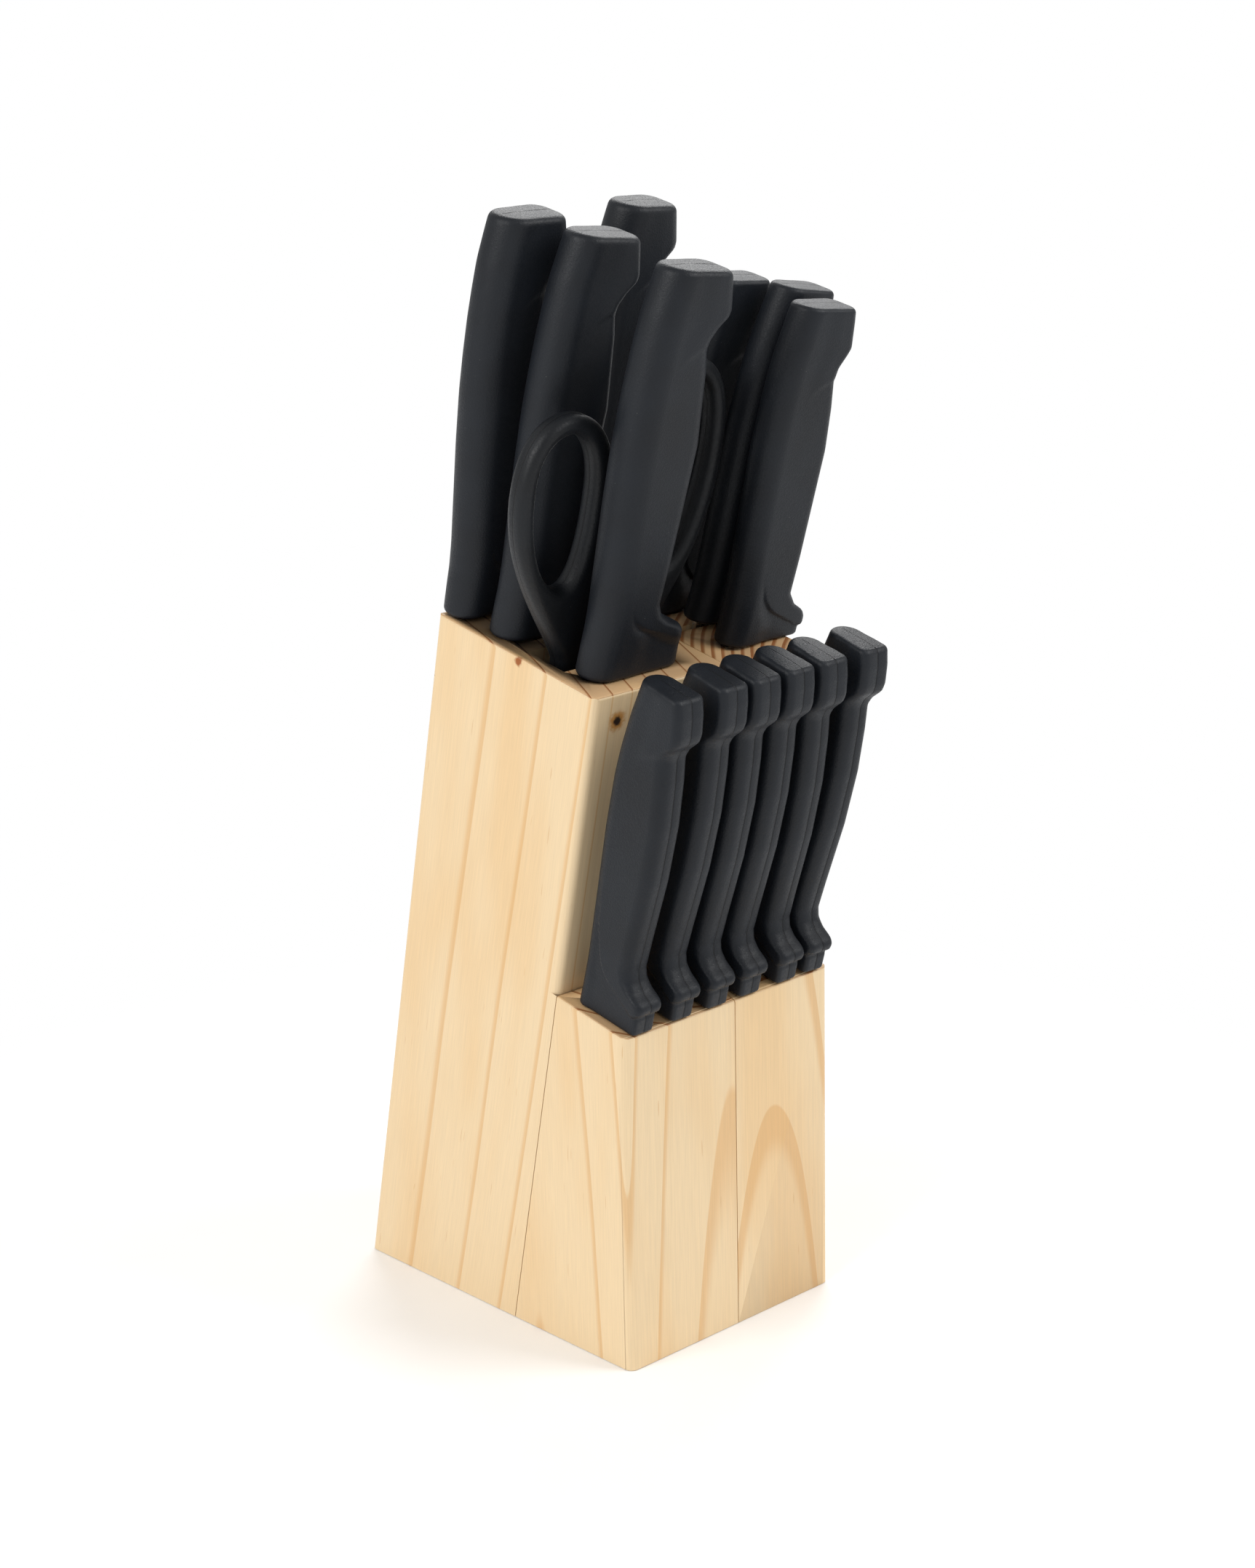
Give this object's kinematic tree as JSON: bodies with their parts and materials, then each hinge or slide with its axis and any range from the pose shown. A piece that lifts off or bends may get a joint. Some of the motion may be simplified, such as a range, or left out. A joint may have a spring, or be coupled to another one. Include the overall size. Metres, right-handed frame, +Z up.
{
  "type": "knife block with knives",
  "caption": "Leaning stepped wooden block on a flat base, holding moulded-handle kitchen knives, a row of steak knives and kitchen shears that all pull out.",
  "frame": {"origin": "middle of the block's underside, on the surface it stands on", "axes": "+Z up, -Y to the front (the way the slots lean and the steak knives' edges face), +X to the right seen from the front"},
  "size_m": [0.1077, 0.1387, 0.3216],
  "materials": {
    "pine": "clear satin lacquer on planed softwood",
    "handle_plastic": "finely textured satin moulding",
    "shears_plastic": "finely textured satin moulding",
    "blade_steel": "fine ground",
    "shears_steel": "satin",
    "pivot_steel": "turned"
  },
  "bodies": {
    "block": {"tall_board_left": "pine", "tall_board_right": "pine", "front_board_left": "pine", "front_board_right": "pine"},
    "bread_knife": {"bread_knife_handle": "handle_plastic", "bread_knife_blade": "blade_steel"},
    "santoku_knife": {"santoku_knife_handle": "handle_plastic", "santoku_knife_blade": "blade_steel"},
    "chef_knife": {"chef_knife_handle": "handle_plastic", "chef_knife_blade": "blade_steel"},
    "carving_knife": {"carving_knife_handle": "handle_plastic", "carving_knife_blade": "blade_steel"},
    "boning_knife": {"boning_knife_handle": "handle_plastic", "boning_knife_blade": "blade_steel"},
    "utility_knife": {"utility_knife_handle": "handle_plastic", "utility_knife_blade": "blade_steel"},
    "paring_knife": {"paring_knife_handle": "handle_plastic", "paring_knife_blade": "blade_steel"},
    "steak_knife_1": {"steak_knife_1_handle": "handle_plastic", "steak_knife_1_blade": "blade_steel"},
    "steak_knife_2": {"steak_knife_2_handle": "handle_plastic", "steak_knife_2_blade": "blade_steel"},
    "steak_knife_3": {"steak_knife_3_handle": "handle_plastic", "steak_knife_3_blade": "blade_steel"},
    "steak_knife_4": {"steak_knife_4_handle": "handle_plastic", "steak_knife_4_blade": "blade_steel"},
    "steak_knife_5": {"steak_knife_5_handle": "handle_plastic", "steak_knife_5_blade": "blade_steel"},
    "steak_knife_6": {"steak_knife_6_handle": "handle_plastic", "steak_knife_6_blade": "blade_steel"},
    "shears": {"shears_finger_handle": "shears_plastic", "shears_finger_blade": "shears_steel", "shears_pivot_screw": "pivot_steel", "shears_pivot_nut": "pivot_steel"},
    "shears_thumb_half": {"shears_thumb_handle": "shears_plastic", "shears_thumb_blade": "shears_steel"}
  },
  "joints": [
    {"name": "bread_knife_slide", "type": "slide", "parent": "block", "child": "bread_knife", "axis": [-0.0854, -0.2072, 0.9746], "range_m": [0, 0.2]},
    {"name": "santoku_knife_slide", "type": "slide", "parent": "block", "child": "santoku_knife", "axis": [0, -0.2079, 0.9781], "range_m": [0, 0.175]},
    {"name": "chef_knife_slide", "type": "slide", "parent": "block", "child": "chef_knife", "axis": [0, -0.2079, 0.9781], "range_m": [0, 0.2]},
    {"name": "carving_knife_slide", "type": "slide", "parent": "block", "child": "carving_knife", "axis": [-0.0523, -0.2076, 0.9768], "range_m": [0, 0.198]},
    {"name": "boning_knife_slide", "type": "slide", "parent": "block", "child": "boning_knife", "axis": [0, -0.2079, 0.9781], "range_m": [0, 0.145]},
    {"name": "utility_knife_slide", "type": "slide", "parent": "block", "child": "utility_knife", "axis": [0.068, -0.2074, 0.9759], "range_m": [0, 0.135]},
    {"name": "paring_knife_slide", "type": "slide", "parent": "block", "child": "paring_knife", "axis": [0.0175, -0.2079, 0.978], "range_m": [0, 0.098]},
    {"name": "steak_knife_1_slide", "type": "slide", "parent": "block", "child": "steak_knife_1", "axis": [0, -0.2079, 0.9781], "range_m": [0, 0.105]},
    {"name": "steak_knife_2_slide", "type": "slide", "parent": "block", "child": "steak_knife_2", "axis": [0.0175, -0.2079, 0.978], "range_m": [0, 0.105]},
    {"name": "steak_knife_3_slide", "type": "slide", "parent": "block", "child": "steak_knife_3", "axis": [0.0052, -0.2079, 0.9781], "range_m": [0, 0.105]},
    {"name": "steak_knife_4_slide", "type": "slide", "parent": "block", "child": "steak_knife_4", "axis": [0.0052, -0.2079, 0.9781], "range_m": [0, 0.105]},
    {"name": "steak_knife_5_slide", "type": "slide", "parent": "block", "child": "steak_knife_5", "axis": [-0.014, -0.2079, 0.9781], "range_m": [0, 0.105]},
    {"name": "steak_knife_6_slide", "type": "slide", "parent": "block", "child": "steak_knife_6", "axis": [0.0384, -0.2078, 0.9774], "range_m": [0, 0.105]},
    {"name": "shears_slide", "type": "slide", "parent": "block", "child": "shears", "axis": [0, -0.2079, 0.9781], "range_m": [0, 0.14]},
    {"name": "shears_pivot", "type": "hinge", "parent": "shears", "child": "shears_thumb_half", "pos_m": [-0.0171, -0.01594, 0.15659], "axis": [0, -0.9781, -0.2079], "range_deg": [0, 3]}
  ]
}
